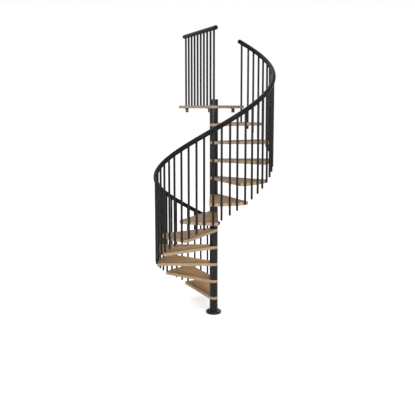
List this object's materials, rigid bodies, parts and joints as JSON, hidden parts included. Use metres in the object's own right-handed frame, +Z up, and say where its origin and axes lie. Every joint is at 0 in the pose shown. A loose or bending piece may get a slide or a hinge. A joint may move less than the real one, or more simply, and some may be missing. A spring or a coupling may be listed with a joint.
{
  "type": "spiral staircase",
  "caption": "Spiral staircase with wedge timber treads stacked on a dark steel column, upright rods along the outer edge, a helical handrail and a railed landing.",
  "frame": {"origin": "centre of the base flange's underside, on the floor", "axes": "+Z up along the column; +Y towards the landing, away from the viewer of the picture; the flight climbs from +X towards +Y"},
  "size_m": [1.5735, 1.8189, 3.7779],
  "materials": {
    "steel": "satin",
    "rod_steel": "satin",
    "handrail": "matte",
    "oak": "satin"
  },
  "bodies": {
    "root": {"base_flange": "steel", "column_spacer_01": "steel", "column_spacer_02": "steel", "column_spacer_03": "steel", "column_spacer_04": "steel", "column_spacer_05": "steel", "column_spacer_06": "steel", "column_spacer_07": "steel", "column_spacer_08": "steel", "column_spacer_09": "steel", "column_spacer_10": "steel", "column_spacer_11": "steel", "column_spacer_12": "steel", "column_cap": "steel", "tread_01": "oak", "tread_02": "oak", "tread_03": "oak", "tread_04": "oak", "tread_05": "oak", "tread_06": "oak", "tread_07": "oak", "tread_08": "oak", "tread_09": "oak", "tread_10": "oak", "tread_11": "oak", "landing": "oak", "landing_brackets": "steel", "balusters_01": "rod_steel", "balusters_02": "rod_steel", "balusters_03": "rod_steel", "balusters_04": "rod_steel", "balusters_05": "rod_steel", "balusters_06": "rod_steel", "balusters_07": "rod_steel", "balusters_08": "rod_steel", "balusters_09": "rod_steel", "balusters_10": "rod_steel", "balusters_11": "rod_steel", "top_baluster": "rod_steel", "landing_balusters": "rod_steel", "handrail": "handrail", "landing_rail": "handrail"}
  },
  "joints": []
}
